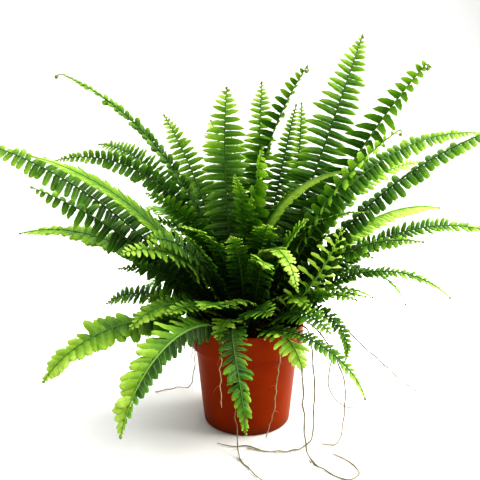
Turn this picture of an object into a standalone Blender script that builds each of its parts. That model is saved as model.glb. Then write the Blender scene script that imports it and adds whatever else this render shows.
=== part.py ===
"""A Boston fern in a plastic nursery pot.

The fern's fronds and runners grow from a low crown on the soil. Metres, +Z up.
The origin is the centre of the pot's underside. +X is to the right, -Y to the front.
"""

import math

import bmesh
import bpy
import numpy as np
from mathutils import Vector

# ---------------------------------------------------------------- driving dimensions

POT_DIAMETER = 0.120
POT_HEIGHT = 0.110
BASE_DIAMETER = 0.092
BAND_HEIGHT = 0.026
BAND_STEP = 0.0042
WALL = 0.0014
FLOOR_THICKNESS = 0.0020
DRAIN_HOLES = 6
DRAIN_RADIUS = 0.0045
DRAIN_CIRCLE = 0.030
DRAIN_SIDES = 16
POT_STEPS = 48

SOIL_BELOW_RIM = 0.012
CROWN_RADIUS = 0.033
CROWN_HEIGHT = 0.017
CROWN_STEPS = 36
CROWN_RINGS = 8

GAP = 0.0003
SOIL_GAP = 0.0004
SEAT = 0.0004

FROND_THICKNESS = 0.0006
STIPE_HALF_WIDTH = 0.0012
BLADE_START = 0.10
SWELL_END = 0.25
SWELL_LOSS = 0.5
TAPER_POWER = 4.5
TIP_POWER = 0.85
DROOP_POWER = 1.6
TWIST_END = 0.25
TEETH = 6
NOTCH = 0.5
TOOTH_LEAN = 0.3
BLADE_SAG = 0.18
CURVE_STEPS = 48
CROWDING = 0.46
LEAST_HALF_WIDTH = 0.0007
FREE_OF_POT = 1.0

RUNNER_RADIUS = 0.0008
RUNNER_REST = RUNNER_RADIUS + 0.0001
RUNNER_POINTS = 24
RUNNER_FINE = 4
SPLINE_SHARES = 16

# Every frond by hand. Angles in degrees, lengths in metres. Heading is the compass direction
# it leans to, 0 at +X and 90 at +Y. Rise is its slope where it leaves the crown, droop is how
# much of that slope it has lost at its tip, sweep is its turn sideways on the way, and roll
# turns the blade about its rachis, 0 facing up.
# name, heading, rise, length, droop, sweep, half width, roll
FRONDS = (
    ("tall_right", 15, 70, 0.308, -1, 0, 0.026, -75),
    ("tall_left", 165, 82, 0.235, -13, 0, 0.025, 75),
    ("tall_centre", 68, 81, 0.244, -4, 0, 0.018, -20),
    ("tall_hooked", -5, 90, 0.268, 35, 0, 0.020, 40),
    ("slim_upright", 35, 79, 0.225, 6, 0, 0.012, -40),
    ("pale_upright", 45, 64, 0.236, -28, 0, 0.014, -45),
    ("left_upright", 155, 76, 0.226, 20, 0, 0.017, 55),
    ("left_high_arch", 180, 76, 0.318, 55, 0, 0.009, 50),
    ("right_high", -10, 66, 0.304, 16, 0, 0.024, 55),
    ("right_high_small", -24, 69, 0.243, 34, 0, 0.012, -40),
    ("right_lace", 12, 66, 0.330, 72, 0, 0.014, -50),
    ("right_long", -5, 57, 0.312, 40, 0, 0.018, -25),
    ("right_back_pale", 30, 58, 0.295, 62, 0, 0.014, -40),
    ("right_under", -16, 57, 0.186, 66, 0, 0.012, -35),
    ("right_level", 4, 47, 0.275, 70, 0, 0.012, -45),
    ("right_level_small", 24, 49, 0.264, 62, 0, 0.015, -20),
    ("right_low", -9, 46, 0.202, 92, 0, 0.010, -25),
    ("right_low_slim", 0, 54, 0.178, 127, 0, 0.011, -10),
    ("right_low_front", -30, 49, 0.106, 66, 0, 0.011, -15),
    ("right_hanging", -74, 29, 0.163, 103, 60, 0.010, -15),
    ("right_drop", -36, 47, 0.128, 162, 0, 0.009, -40),
    ("front_right_spill", -67, 31, 0.100, 88, 0, 0.019, 0),
    ("front_spill", -103, 31, 0.182, 112, 33, 0.015, 0),
    ("left_spill", 211, 25, 0.197, 79, 0, 0.022, 20),
    ("left_front_spill", 246, 31, 0.212, 106, -10, 0.023, 15),
    ("left_low_dark", 160, 26, 0.148, 62, 0, 0.015, 40),
    ("left_level", 170, 44, 0.255, 60, 0, 0.016, 20),
    ("left_bright_arch", 200, 61, 0.262, 46, 0, 0.015, 40),
    ("left_long", 184, 52, 0.312, 36, 0, 0.020, 48),
    ("left_upper", 172, 75, 0.280, 92, 0, 0.014, 70),
    ("left_upper_back", 142, 65, 0.292, 65, 0, 0.018, 50),
    ("left_fringe", 192, 49, 0.235, 26, 0, 0.020, 60),
    ("centre_drop", -68, 84, 0.172, 158, 0, 0.012, 0),
    ("centre_left_drop", -70, 62, 0.085, 100, -110, 0.010, 0),
    ("right_fan", -43, 43, 0.142, -30, 10, 0.019, 40),
    ("front_curl", -48, 66, 0.092, 130, 0, 0.013, 0),
    ("front_left_small", 231, 34, 0.090, 80, 0, 0.013, 20),
    ("front_small", -106, 46, 0.080, 90, 0, 0.014, 0),
    ("centre_arch", -32, 88, 0.206, 85, 0, 0.010, -30),
    ("centre_facing", -82, 82, 0.198, 42, 0, 0.014, 62),
    ("left_near", 215, 66, 0.160, 80, 0, 0.018, 30),
    ("left_near_low", 222, 46, 0.130, 90, 0, 0.016, 15),
    ("back_high", 95, 66, 0.280, 58, 0, 0.022, 0),
    ("back_left_arch", 122, 48, 0.265, 72, 0, 0.023, 0),
    ("back_right_arch", 62, 50, 0.265, 72, 0, 0.023, 0),
    ("back_inner", 108, 75, 0.245, 42, 0, 0.022, 0),
    ("back_small", 76, 42, 0.190, 70, 0, 0.018, 0),
    ("back_low", 96, 29, 0.210, 88, 0, 0.021, 0),
    ("back_left_low", 128, 28, 0.200, 82, 0, 0.020, 0),
)

# Each runner by hand: the heading and rise it leaves the crown at, then where it goes, over the
# rim and down.
RUNNERS = (
    ("right", -25, 12, ((0.048, -0.026, 0.109), (0.056, -0.033, 0.113), (0.062, -0.040, 0.106),
                        (0.066, -0.048, 0.070), (0.066, -0.055, 0.030), (0.062, -0.064, 0.006),
                        (0.045, -0.074, 0.001), (0.020, -0.076, 0.001), (0.000, -0.070, 0.001))),
    ("loop", -37, 12, ((0.040, -0.036, 0.109), (0.046, -0.046, 0.113), (0.050, -0.054, 0.105),
                       (0.054, -0.066, 0.060), (0.055, -0.076, 0.016), (0.058, -0.088, 0.002),
                       (0.070, -0.108, 0.001), (0.088, -0.122, 0.001), (0.102, -0.112, 0.001),
                       (0.094, -0.092, 0.001), (0.082, -0.080, 0.001))),
    ("across", -62, 12, ((0.025, -0.045, 0.109), (0.030, -0.057, 0.113), (0.033, -0.064, 0.105),
                         (0.028, -0.071, 0.072), (0.025, -0.071, 0.040), (0.018, -0.070, 0.012))),
    ("front", -98, 12, ((-0.008, -0.050, 0.109), (-0.010, -0.061, 0.113), (-0.012, -0.068, 0.104),
                        (-0.012, -0.072, 0.060), (-0.010, -0.075, 0.018), (-0.008, -0.086, 0.001),
                        (0.002, -0.108, 0.001), (0.018, -0.134, 0.001))),
    ("pink", -112, 12, ((-0.019, -0.047, 0.109), (-0.022, -0.057, 0.113), (-0.024, -0.064, 0.106),
                        (-0.026, -0.068, 0.074), (-0.025, -0.067, 0.042))),
    ("far_right", -8, 14, ((0.064, -0.012, 0.116), (0.090, -0.024, 0.114),
                           (0.124, -0.044, 0.088), (0.154, -0.060, 0.064), (0.188, -0.074, 0.048))),
    ("corner", -18, 12, ((0.053, -0.020, 0.110), (0.062, -0.026, 0.114), (0.080, -0.038, 0.098),
                         (0.096, -0.050, 0.060), (0.095, -0.058, 0.022), (0.088, -0.064, 0.002),
                         (0.074, -0.062, 0.001))),
    ("back", 142, 12, ((-0.040, 0.034, 0.109), (-0.048, 0.042, 0.113), (-0.054, 0.050, 0.102),
                       (-0.060, 0.056, 0.050), (-0.066, 0.062, 0.008), (-0.086, 0.066, 0.001),
                       (-0.108, 0.056, 0.001))),
)

# ---------------------------------------------------------------- worked-out sizes

POT_RADIUS = POT_DIAMETER / 2
BASE_RADIUS = BASE_DIAMETER / 2
SHOULDER_RADIUS = POT_RADIUS - BAND_STEP - WALL
SHOULDER_Z = POT_HEIGHT - BAND_HEIGHT
SOIL_TOP = POT_HEIGHT - SOIL_BELOW_RIM
CROWN_BOTTOM = SOIL_TOP + GAP
WALL_SLOPE = (SHOULDER_RADIUS - BASE_RADIUS) / SHOULDER_Z


# ---------------------------------------------------------------- scene and materials

def clear_scene():
    """Remove what the file opened with."""
    for obj in list(bpy.data.objects):
        bpy.data.objects.remove(obj, do_unlink=True)


def new_collection(name):
    """A collection in the scene."""
    collection = bpy.data.collections.new(name)
    bpy.context.scene.collection.children.link(collection)
    return collection


def material(name, colour, roughness):
    """A plain finish for one sub-part."""
    made = bpy.data.materials.new(name)
    made.use_nodes = True
    shader = made.node_tree.nodes["Principled BSDF"]
    shader.inputs["Base Color"].default_value = (*colour, 1.0)
    shader.inputs["Roughness"].default_value = roughness
    shader.inputs["Metallic"].default_value = 0.0
    return made


def add_object(name, data, collection, finish):
    """An object in its collection, with its finish."""
    obj = bpy.data.objects.new(name, data)
    collection.objects.link(obj)
    data.materials.append(finish)
    return obj


# ---------------------------------------------------------------- turned pieces

def turned(name, profile, steps, collection, finish):
    """A profile of (radius, height) from axis to axis, swept round Z, outer side running down."""
    mesh = bpy.data.meshes.new(name)
    points = [(radius, 0.0, height) for radius, height in profile]
    edges = [(i, i + 1) for i in range(len(points) - 1)]
    mesh.from_pydata(points, edges, [])
    obj = add_object(name, mesh, collection, finish)
    screw = obj.modifiers.new("Turn", "SCREW")
    screw.axis = "Z"
    screw.steps = steps
    screw.render_steps = steps
    screw.use_merge_vertices = True
    screw.merge_threshold = 0.00005
    screw.use_smooth_shade = True
    return obj


def inner_radius(height):
    """The pot's inside radius at a height above its underside."""
    return BASE_RADIUS - WALL + WALL_SLOPE * height


def make_pot(parts, cutters, finish):
    """A tapered shell with a wider band at its rim and holes in its floor."""
    step_z = SHOULDER_Z + WALL
    profile = (
        (0.0, FLOOR_THICKNESS),
        (inner_radius(FLOOR_THICKNESS), FLOOR_THICKNESS),
        (inner_radius(step_z), step_z),
        (POT_RADIUS - WALL, step_z + BAND_STEP),
        (POT_RADIUS - WALL, POT_HEIGHT - WALL / 2),
        (POT_RADIUS - WALL / 2, POT_HEIGHT),
        (POT_RADIUS, POT_HEIGHT - WALL / 2),
        (POT_RADIUS - BAND_STEP / 4, SHOULDER_Z),
        (SHOULDER_RADIUS, SHOULDER_Z),
        (BASE_RADIUS, WALL),
        (BASE_RADIUS - WALL, 0.0),
        (0.0, 0.0),
    )
    pot = turned("pot", profile, POT_STEPS, parts, finish)
    for i in range(DRAIN_HOLES):
        angle = math.tau * (i + 0.5) / DRAIN_HOLES
        mesh = bpy.data.meshes.new("drain_cutter")
        hole = bmesh.new()
        bmesh.ops.create_cone(
            hole, cap_ends=True, segments=DRAIN_SIDES, radius1=DRAIN_RADIUS, radius2=DRAIN_RADIUS,
            depth=4 * FLOOR_THICKNESS)
        hole.to_mesh(mesh)
        hole.free()
        cutter = bpy.data.objects.new(f"drain_cutter_{i + 1}", mesh)
        cutter.location = (DRAIN_CIRCLE * math.cos(angle), DRAIN_CIRCLE * math.sin(angle), 0.0)
        cutter.hide_render = True
        cutter.display_type = "WIRE"
        cutters.objects.link(cutter)
        cut = pot.modifiers.new(f"Drain {i + 1}", "BOOLEAN")
        cut.operation = "DIFFERENCE"
        cut.solver = "EXACT"
        cut.object = cutter


def make_soil(parts, finish):
    """The root ball and potting mix, a frustum clear of the pot's inside."""
    bottom = FLOOR_THICKNESS + GAP
    bend = SHOULDER_Z + WALL
    profile = (
        (0.0, SOIL_TOP),
        (POT_RADIUS - WALL - SOIL_GAP, SOIL_TOP),
        (POT_RADIUS - WALL - SOIL_GAP, bend + BAND_STEP + SOIL_GAP),
        (inner_radius(bend) - SOIL_GAP, bend),
        (inner_radius(bottom) - SOIL_GAP, bottom),
        (0.0, bottom),
    )
    turned("soil", profile, POT_STEPS, parts, finish)


def make_crown(parts, finish):
    """The low mound of rhizome that the fronds grow from."""
    profile = []
    for i in range(CROWN_RINGS + 1):
        angle = math.radians(90 * (1 - i / CROWN_RINGS))
        profile.append((CROWN_RADIUS * math.cos(angle), CROWN_BOTTOM + CROWN_HEIGHT * math.sin(angle)))
    profile[0] = (0.0, CROWN_BOTTOM + CROWN_HEIGHT)
    profile.append((0.0, CROWN_BOTTOM))
    turned("crown", profile, CROWN_STEPS, parts, finish)


# ---------------------------------------------------------------- fronds

def direction(heading, slope):
    """A unit vector from a compass heading and a slope, in radians."""
    return Vector((
        math.cos(slope) * math.cos(heading), math.cos(slope) * math.sin(heading), math.sin(slope)))


def crown_point(outward):
    """Where the crown's skin faces a direction, with the seat's gap."""
    wide = CROWN_RADIUS ** 2
    high = CROWN_HEIGHT ** 2
    scale = math.sqrt(wide * (outward.x ** 2 + outward.y ** 2) + high * outward.z ** 2)
    skin = Vector((wide * outward.x, wide * outward.y, high * outward.z)) / scale
    return Vector((0.0, 0.0, CROWN_BOTTOM)) + skin + outward * SEAT


def frond_curve(frond):
    """Points and axes along a frond's rachis: (place, along, side, face) at each step."""
    heading, rise, length, droop, sweep, roll = (frond[i] for i in (1, 2, 3, 4, 5, 7))
    place = crown_point(direction(math.radians(heading), math.radians(rise)))
    step = length / CURVE_STEPS
    rows = []
    for i in range(CURVE_STEPS + 1):
        s = i / CURVE_STEPS
        compass = math.radians(heading + sweep * s)
        along = direction(compass, math.radians(rise - droop * s ** DROOP_POWER))
        level = Vector((math.sin(compass), -math.cos(compass), 0.0))
        face = level.cross(along)
        turn = math.radians(roll) * min(1.0, s / TWIST_END)
        side = level * math.cos(turn) + face * math.sin(turn)
        rows.append((place.copy(), along, side, side.cross(along)))
        place = place + along * step
    return rows


def blade_half_width(s, widest):
    """A frond's half width at a share of its length: bare stipe, quick swell, blunt tip."""
    if s <= BLADE_START:
        return STIPE_HALF_WIDTH
    u = (s - BLADE_START) / (1 - BLADE_START)
    swell = 1 - SWELL_LOSS * (1 - min(u / SWELL_END, 1.0)) ** 2
    return max(STIPE_HALF_WIDTH, widest * swell * (1 - u ** TAPER_POWER) ** TIP_POWER)


def room_by_pot(place):
    """How far a point above the soil or outside the pot is from the pot and the floor."""
    radius = math.hypot(place.x, place.y)
    over_rim = place.z - POT_HEIGHT
    if radius > POT_RADIUS:
        room = math.hypot(radius - POT_RADIUS, max(0.0, over_rim))
    else:
        rim = math.hypot(max(0.0, POT_RADIUS - WALL - radius), max(0.0, over_rim))
        room = min(rim, place.z - SOIL_TOP)
    return min(room, place.z)


def frond_rows():
    """The steps of the curve that carry a row of the strip, and each row's share of full width."""
    stipe = round(CURVE_STEPS * BLADE_START)
    rows = [(0, 1.0), (stipe // 2, 1.0), (stipe, 1.0)]
    pitch = (CURVE_STEPS - stipe) / (2 * TEETH)
    for i in range(1, 2 * TEETH + 1):
        rows.append((round(stipe + pitch * i), 1.0 if i % 2 else NOTCH))
    return rows


def make_frond(frond, curve, room, parts, finish):
    """A toothed strip along the rachis, thickened: the stipe, rachis and pinnae as one piece."""
    name, widest = frond[0], frond[6]
    rows = frond_rows()
    grid = bmesh.new()
    before = None
    for order, (step, share) in enumerate(rows):
        place, along, side, face = curve[step]
        low = rows[max(order - 1, 0)][0]
        high = rows[min(order + 1, len(rows) - 1)][0]
        free = CROWDING * float(room[low:high + 1].min()) - FROND_THICKNESS / 2
        half = min(blade_half_width(step / CURVE_STEPS, widest) * share, free)
        half = max(half, LEAST_HALF_WIDTH)
        lean = along * (TOOTH_LEAN * half if share == 1.0 and step else 0.0)
        sag = face * (-BLADE_SAG * half)
        row = [
            grid.verts.new(place - side * half + lean + sag),
            grid.verts.new(place),
            grid.verts.new(place + side * half + lean + sag),
        ]
        if before:
            for i in range(2):
                grid.faces.new((before[i], before[i + 1], row[i + 1], row[i]))
        before = row
    mesh = bpy.data.meshes.new(name)
    grid.to_mesh(mesh)
    grid.free()
    obj = add_object(f"frond_{name}", mesh, parts, finish)
    shell = obj.modifiers.new("Thickness", "SOLIDIFY")
    shell.thickness = FROND_THICKNESS
    shell.offset = 0.0


# ---------------------------------------------------------------- runners

def smooth_route(runner, count):
    """Points evenly along a Catmull-Rom curve from the crown through a runner's route."""
    heading, rise, points = runner[1:]
    start = crown_point(direction(math.radians(heading), math.radians(rise)))
    knots = [start] + [Vector(p) for p in points]
    knots = [2 * knots[0] - knots[1]] + knots + [2 * knots[-1] - knots[-2]]
    fine = []
    for i in range(1, len(knots) - 2):
        a, b, c, d = knots[i - 1:i + 3]
        for k in range(SPLINE_SHARES):
            t = k / SPLINE_SHARES
            fine.append(0.5 * (2 * b + (c - a) * t + (2 * a - 5 * b + 4 * c - d) * t ** 2
                               + (3 * b - a - 3 * c + d) * t ** 3))
    fine.append(knots[-2])
    travelled = np.cumsum([0.0] + [(q - p).length for p, q in zip(fine, fine[1:])])
    wanted = np.linspace(0.0, travelled[-1], count)
    columns = [np.interp(wanted, travelled, [p[axis] for p in fine]) for axis in range(3)]
    return [Vector((x, y, max(z, RUNNER_REST))) for x, y, z in zip(*columns)]


def make_runner(name, route, parts, finish):
    """A wiry stolon: a round wire along its route."""
    data = bpy.data.curves.new(f"runner_{name}", "CURVE")
    data.dimensions = "3D"
    data.bevel_depth = RUNNER_RADIUS
    data.bevel_resolution = 2
    data.use_fill_caps = True
    spline = data.splines.new("POLY")
    spline.points.add(len(route) - 1)
    for point, place in zip(spline.points, route):
        point.co = (*place, 1.0)
    add_object(f"runner_{name}", data, parts, finish)


# ---------------------------------------------------------------- the whole plant

def room_along(points, others):
    """At each of one curve's points, the distance to the nearest of the others' points."""
    here = np.array([tuple(p) for p in points])
    return np.min([
        np.linalg.norm(here[:, None, :] - other[None, :, :], axis=2).min(axis=1)
        for other in others], axis=0)


def main():
    clear_scene()
    parts = new_collection("potted_fern")
    cutters = new_collection("cutters")
    plastic = material("terracotta_plastic", (0.40, 0.09, 0.04), 0.45)
    earth = material("potting_mix", (0.035, 0.022, 0.014), 0.95)
    rhizome = material("rhizome", (0.10, 0.06, 0.03), 0.9)
    leaf = material("fern_leaf", (0.10, 0.24, 0.03), 0.5)
    wire = material("runner_stem", (0.26, 0.20, 0.12), 0.7)

    make_pot(parts, cutters, plastic)
    make_soil(parts, earth)
    make_crown(parts, rhizome)

    curves = [frond_curve(frond) for frond in FRONDS]
    routes = [smooth_route(runner, RUNNER_POINTS) for runner in RUNNERS]
    fine_routes = [smooth_route(runner, RUNNER_FINE * RUNNER_POINTS) for runner in RUNNERS]
    lines = [np.array([tuple(row[0]) for row in curve]) for curve in curves]
    wires = [np.array([tuple(p) for p in route]) for route in fine_routes]
    for i, (frond, curve) in enumerate(zip(FRONDS, curves)):
        places = [row[0] for row in curve]
        room = room_along(places, lines[:i] + lines[i + 1:] + wires)
        by_pot = np.array([room_by_pot(place) for place in places])
        by_pot[:round(CURVE_STEPS * BLADE_START)] = FREE_OF_POT
        make_frond(frond, curve, np.minimum(room, by_pot), parts, leaf)
    for runner, route in zip(RUNNERS, routes):
        make_runner(runner[0], route, parts, wire)


main()
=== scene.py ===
# %% [markdown]
# # A potted fern
# This script dresses the plain solids of a potted fern with real leaflets, soil, plastic and light.
# The plain solids come first and never move. Everything made below lies where they lie, so the
# fern keeps its true size. Lengths are in metres, +Z is up and -Y is the front.

# %% Load the plain solids
import math
from functools import partialmethod

import bmesh
import bpy
import numpy as np
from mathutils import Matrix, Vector, noise


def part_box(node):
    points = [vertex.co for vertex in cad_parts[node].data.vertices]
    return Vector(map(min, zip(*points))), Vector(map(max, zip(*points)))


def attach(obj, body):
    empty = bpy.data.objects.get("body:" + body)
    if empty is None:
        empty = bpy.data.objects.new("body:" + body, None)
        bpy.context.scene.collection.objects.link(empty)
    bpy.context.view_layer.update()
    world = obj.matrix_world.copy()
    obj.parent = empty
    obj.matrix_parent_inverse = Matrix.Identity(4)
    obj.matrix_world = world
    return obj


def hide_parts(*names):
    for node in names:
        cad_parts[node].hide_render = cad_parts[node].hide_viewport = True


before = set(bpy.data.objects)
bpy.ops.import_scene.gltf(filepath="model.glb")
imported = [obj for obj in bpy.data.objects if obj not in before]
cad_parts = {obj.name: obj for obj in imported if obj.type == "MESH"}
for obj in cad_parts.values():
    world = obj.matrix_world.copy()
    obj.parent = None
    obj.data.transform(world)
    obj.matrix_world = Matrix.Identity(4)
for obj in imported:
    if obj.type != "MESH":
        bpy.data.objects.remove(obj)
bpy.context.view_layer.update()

# %% [markdown]
# ## How the fern grows
# A fern frond leaves the crown at some slope and bends under its own weight. So a frond doesn't
# need a list of points. A heading, a rise, a length and a droop are enough, and a formula draws
# the curve. These are the same values that the plain solids were made from. Angles are in degrees.

# %% The fronds' growth values
# name, heading, rise, length, droop, sweep, half width, roll
FRONDS = (
    ("tall_right", 15, 70, 0.308, -1, 0, 0.026, -75),
    ("tall_left", 165, 82, 0.235, -13, 0, 0.025, 75),
    ("tall_centre", 68, 81, 0.244, -4, 0, 0.018, -20),
    ("tall_hooked", -5, 90, 0.268, 35, 0, 0.020, 40),
    ("slim_upright", 35, 79, 0.225, 6, 0, 0.012, -40),
    ("pale_upright", 45, 64, 0.236, -28, 0, 0.014, -45),
    ("left_upright", 155, 76, 0.226, 20, 0, 0.017, 55),
    ("left_high_arch", 180, 76, 0.318, 55, 0, 0.009, 50),
    ("right_high", -10, 66, 0.304, 16, 0, 0.024, 55),
    ("right_high_small", -24, 69, 0.243, 34, 0, 0.012, -40),
    ("right_lace", 12, 66, 0.330, 72, 0, 0.014, -50),
    ("right_long", -5, 57, 0.312, 40, 0, 0.018, -25),
    ("right_back_pale", 30, 58, 0.295, 62, 0, 0.014, -40),
    ("right_under", -16, 57, 0.186, 66, 0, 0.012, -35),
    ("right_level", 4, 47, 0.275, 70, 0, 0.012, -45),
    ("right_level_small", 24, 49, 0.264, 62, 0, 0.015, -20),
    ("right_low", -9, 46, 0.202, 92, 0, 0.010, -25),
    ("right_low_slim", 0, 54, 0.178, 127, 0, 0.011, -10),
    ("right_low_front", -30, 49, 0.106, 66, 0, 0.011, -15),
    ("right_hanging", -74, 29, 0.163, 103, 60, 0.010, -15),
    ("right_drop", -36, 47, 0.128, 162, 0, 0.009, -40),
    ("front_right_spill", -67, 31, 0.100, 88, 0, 0.019, 0),
    ("front_spill", -103, 31, 0.182, 112, 33, 0.015, 0),
    ("left_spill", 211, 25, 0.197, 79, 0, 0.022, 20),
    ("left_front_spill", 246, 31, 0.212, 106, -10, 0.023, 15),
    ("left_low_dark", 160, 26, 0.148, 62, 0, 0.015, 40),
    ("left_level", 170, 44, 0.255, 60, 0, 0.016, 20),
    ("left_bright_arch", 200, 61, 0.262, 46, 0, 0.015, 40),
    ("left_long", 184, 52, 0.312, 36, 0, 0.020, 48),
    ("left_upper", 172, 75, 0.280, 92, 0, 0.014, 70),
    ("left_upper_back", 142, 65, 0.292, 65, 0, 0.018, 50),
    ("left_fringe", 192, 49, 0.235, 26, 0, 0.020, 60),
    ("centre_drop", -68, 84, 0.172, 158, 0, 0.012, 0),
    ("centre_left_drop", -70, 62, 0.085, 100, -110, 0.010, 0),
    ("right_fan", -43, 43, 0.142, -30, 10, 0.019, 40),
    ("front_curl", -48, 66, 0.092, 130, 0, 0.013, 0),
    ("front_left_small", 231, 34, 0.090, 80, 0, 0.013, 20),
    ("front_small", -106, 46, 0.080, 90, 0, 0.014, 0),
    ("centre_arch", -32, 88, 0.206, 85, 0, 0.010, -30),
    ("centre_facing", -82, 82, 0.198, 42, 0, 0.014, 62),
    ("left_near", 215, 66, 0.160, 80, 0, 0.018, 30),
    ("left_near_low", 222, 46, 0.130, 90, 0, 0.016, 15),
    ("back_high", 95, 66, 0.280, 58, 0, 0.022, 0),
    ("back_left_arch", 122, 48, 0.265, 72, 0, 0.023, 0),
    ("back_right_arch", 62, 50, 0.265, 72, 0, 0.023, 0),
    ("back_inner", 108, 75, 0.245, 42, 0, 0.022, 0),
    ("back_small", 76, 42, 0.190, 70, 0, 0.018, 0),
    ("back_low", 96, 29, 0.210, 88, 0, 0.021, 0),
    ("back_left_low", 128, 28, 0.200, 82, 0, 0.020, 0),
)
print("fronds:", len(FRONDS))

# %% [markdown]
# ## The runners' routes
# A runner is a wiry stem that wanders over the rim and along the table. It follows no rule, so its
# route is a short list of given places: the heading and rise it leaves the crown at, and then the
# points that a smooth curve passes through.

# %% The runners' routes
RUNNERS = (
    ("right", -25, 12, ((0.048, -0.026, 0.109), (0.056, -0.033, 0.113), (0.062, -0.040, 0.106),
                        (0.066, -0.048, 0.070), (0.066, -0.055, 0.030), (0.062, -0.064, 0.006),
                        (0.045, -0.074, 0.001), (0.020, -0.076, 0.001), (0.000, -0.070, 0.001))),
    ("loop", -37, 12, ((0.040, -0.036, 0.109), (0.046, -0.046, 0.113), (0.050, -0.054, 0.105),
                       (0.054, -0.066, 0.060), (0.055, -0.076, 0.016), (0.058, -0.088, 0.002),
                       (0.070, -0.108, 0.001), (0.088, -0.122, 0.001), (0.102, -0.112, 0.001),
                       (0.094, -0.092, 0.001), (0.082, -0.080, 0.001))),
    ("across", -62, 12, ((0.025, -0.045, 0.109), (0.030, -0.057, 0.113), (0.033, -0.064, 0.105),
                         (0.028, -0.071, 0.072), (0.025, -0.071, 0.040), (0.018, -0.070, 0.012))),
    ("front", -98, 12, ((-0.008, -0.050, 0.109), (-0.010, -0.061, 0.113), (-0.012, -0.068, 0.104),
                        (-0.012, -0.072, 0.060), (-0.010, -0.075, 0.018), (-0.008, -0.086, 0.001),
                        (0.002, -0.108, 0.001), (0.018, -0.134, 0.001))),
    ("pink", -112, 12, ((-0.019, -0.047, 0.109), (-0.022, -0.057, 0.113), (-0.024, -0.064, 0.106),
                        (-0.026, -0.068, 0.074), (-0.025, -0.067, 0.042))),
    ("far_right", -8, 14, ((0.064, -0.012, 0.116), (0.090, -0.024, 0.114),
                           (0.124, -0.044, 0.088), (0.154, -0.060, 0.064), (0.188, -0.074, 0.048))),
    ("corner", -18, 12, ((0.053, -0.020, 0.110), (0.062, -0.026, 0.114), (0.080, -0.038, 0.098),
                         (0.096, -0.050, 0.060), (0.095, -0.058, 0.022), (0.088, -0.064, 0.002),
                         (0.074, -0.062, 0.001))),
    ("back", 142, 12, ((-0.040, 0.034, 0.109), (-0.048, 0.042, 0.113), (-0.054, 0.050, 0.102),
                       (-0.060, 0.056, 0.050), (-0.066, 0.062, 0.008), (-0.086, 0.066, 0.001),
                       (-0.108, 0.056, 0.001))),
)
print("runners:", len(RUNNERS))

# %% [markdown]
# ## Sizes taken from the solids
# The pot, the soil and the crown are measured here, not typed in again. If the solids change,
# the dressing follows them.

# %% Measure the pot, the soil and the crown
# each box is its lowest and its highest corner, and all three stand round the middle
POT_RADIUS, _, POT_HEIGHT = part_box("pot")[1]
(_, _, SOIL_BOTTOM), (SOIL_RADIUS, _, SOIL_TOP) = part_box("soil")
(_, _, CROWN_BOTTOM), (CROWN_RADIUS, _, CROWN_TOP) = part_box("crown")
CROWN_SIZE = np.array([CROWN_RADIUS, CROWN_RADIUS, CROWN_TOP - CROWN_BOTTOM])
SEAT = 0.0004  # the gap between pieces that touch
print("pot radius", round(POT_RADIUS, 4), "height", round(POT_HEIGHT, 4))

# %% [markdown]
# ## The frond's curve
# The curve is walked in small steps. At each step the stem points a little lower than before,
# slowly at first and faster near the tip, which is how a real frond droops. Each step also
# carries three directions: along the stem, sideways to the leaflets, and up out of the blade.
# Numpy works out all the steps at once, which is much faster than a loop in Python. A young
# frond's tip is still rolled up, so the last few steps can turn in a tight spiral.

# %% Walk along a frond
CURVE_STEPS = 400
DROOP_POWER = 1.6
TWIST_END = 0.25
CURL_FROM, CURL_POWER = 0.965, 1.3
UP = np.array([0.0, 0.0, 1.0])


def unit(vectors):
    """Vectors scaled to length one."""
    return vectors / np.maximum(np.linalg.norm(vectors, axis=-1, keepdims=True), 1e-9)


def crown_point(outward):
    """Where the crown's skin faces a direction."""
    squares = CROWN_SIZE ** 2
    skin = squares * outward / math.sqrt((squares * outward ** 2).sum())
    return skin + outward * SEAT + UP * CROWN_BOTTOM


def headings_to_vectors(compass, slope):
    """Unit vectors from compass headings and slopes, in radians."""
    flat = np.cos(slope)
    return np.stack([flat * np.cos(compass), flat * np.sin(compass), np.sin(slope)], -1)


def frond_curve(heading, rise, length, droop, sweep, roll, curl=0.0):
    """Places and the along, side and face directions at even steps from crown to tip."""
    s = np.linspace(0, 1, CURVE_STEPS + 1)
    compass = np.radians(heading + sweep * s)
    curled = (np.clip(s - CURL_FROM, 0, 1) / (1 - CURL_FROM)) ** CURL_POWER
    slope = np.radians(rise - (droop * s ** DROOP_POWER + curl * curled))
    along = headings_to_vectors(compass, slope)
    steps = (along[:-1] + along[1:]) * (length / CURVE_STEPS / 2)
    start = crown_point(headings_to_vectors(compass[0], slope[0]))
    place = start + np.vstack([np.zeros(3), np.cumsum(steps, 0)])
    level = np.stack([np.sin(compass), -np.cos(compass), np.zeros_like(s)], -1)
    face = np.cross(level, along)
    turn = np.radians(roll * np.minimum(1, s / TWIST_END))[:, None]
    side = level * np.cos(turn) + face * np.sin(turn)
    return s, place, along, side, np.cross(side, along)


def curve_of(frond, curl=0.0):
    """The curve of one row of the table, which keeps its half width before its roll."""
    return frond_curve(*frond[1:6], frond[7], curl)


# %% Check the curves against the solids
def apart_from_solid(frond):
    """How far a frond's tip lies outside the box of its plain solid."""
    tip = Vector(curve_of(frond)[1][-1])
    low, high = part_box(f"frond_{frond[0]}")
    return float(np.max([low - tip, tip - high]))


print("furthest tip from its solid, mm:", round(1000 * max(map(apart_from_solid, FRONDS)), 2))

# %% [markdown]
# ## One leaflet
# A fern's leaflet, its pinna, is a small blade like a lance with a rounded ear on the side nearer
# the frond's tip. It could be cut from a plane, but thousands are needed and each bends its own
# way, so one grid of points serves them all. The grid has rows from base to tip and columns from
# edge to edge. A second layer of points lies under the first and the two share their rims, so
# each leaflet is a thin closed lens with no open edge.

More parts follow.
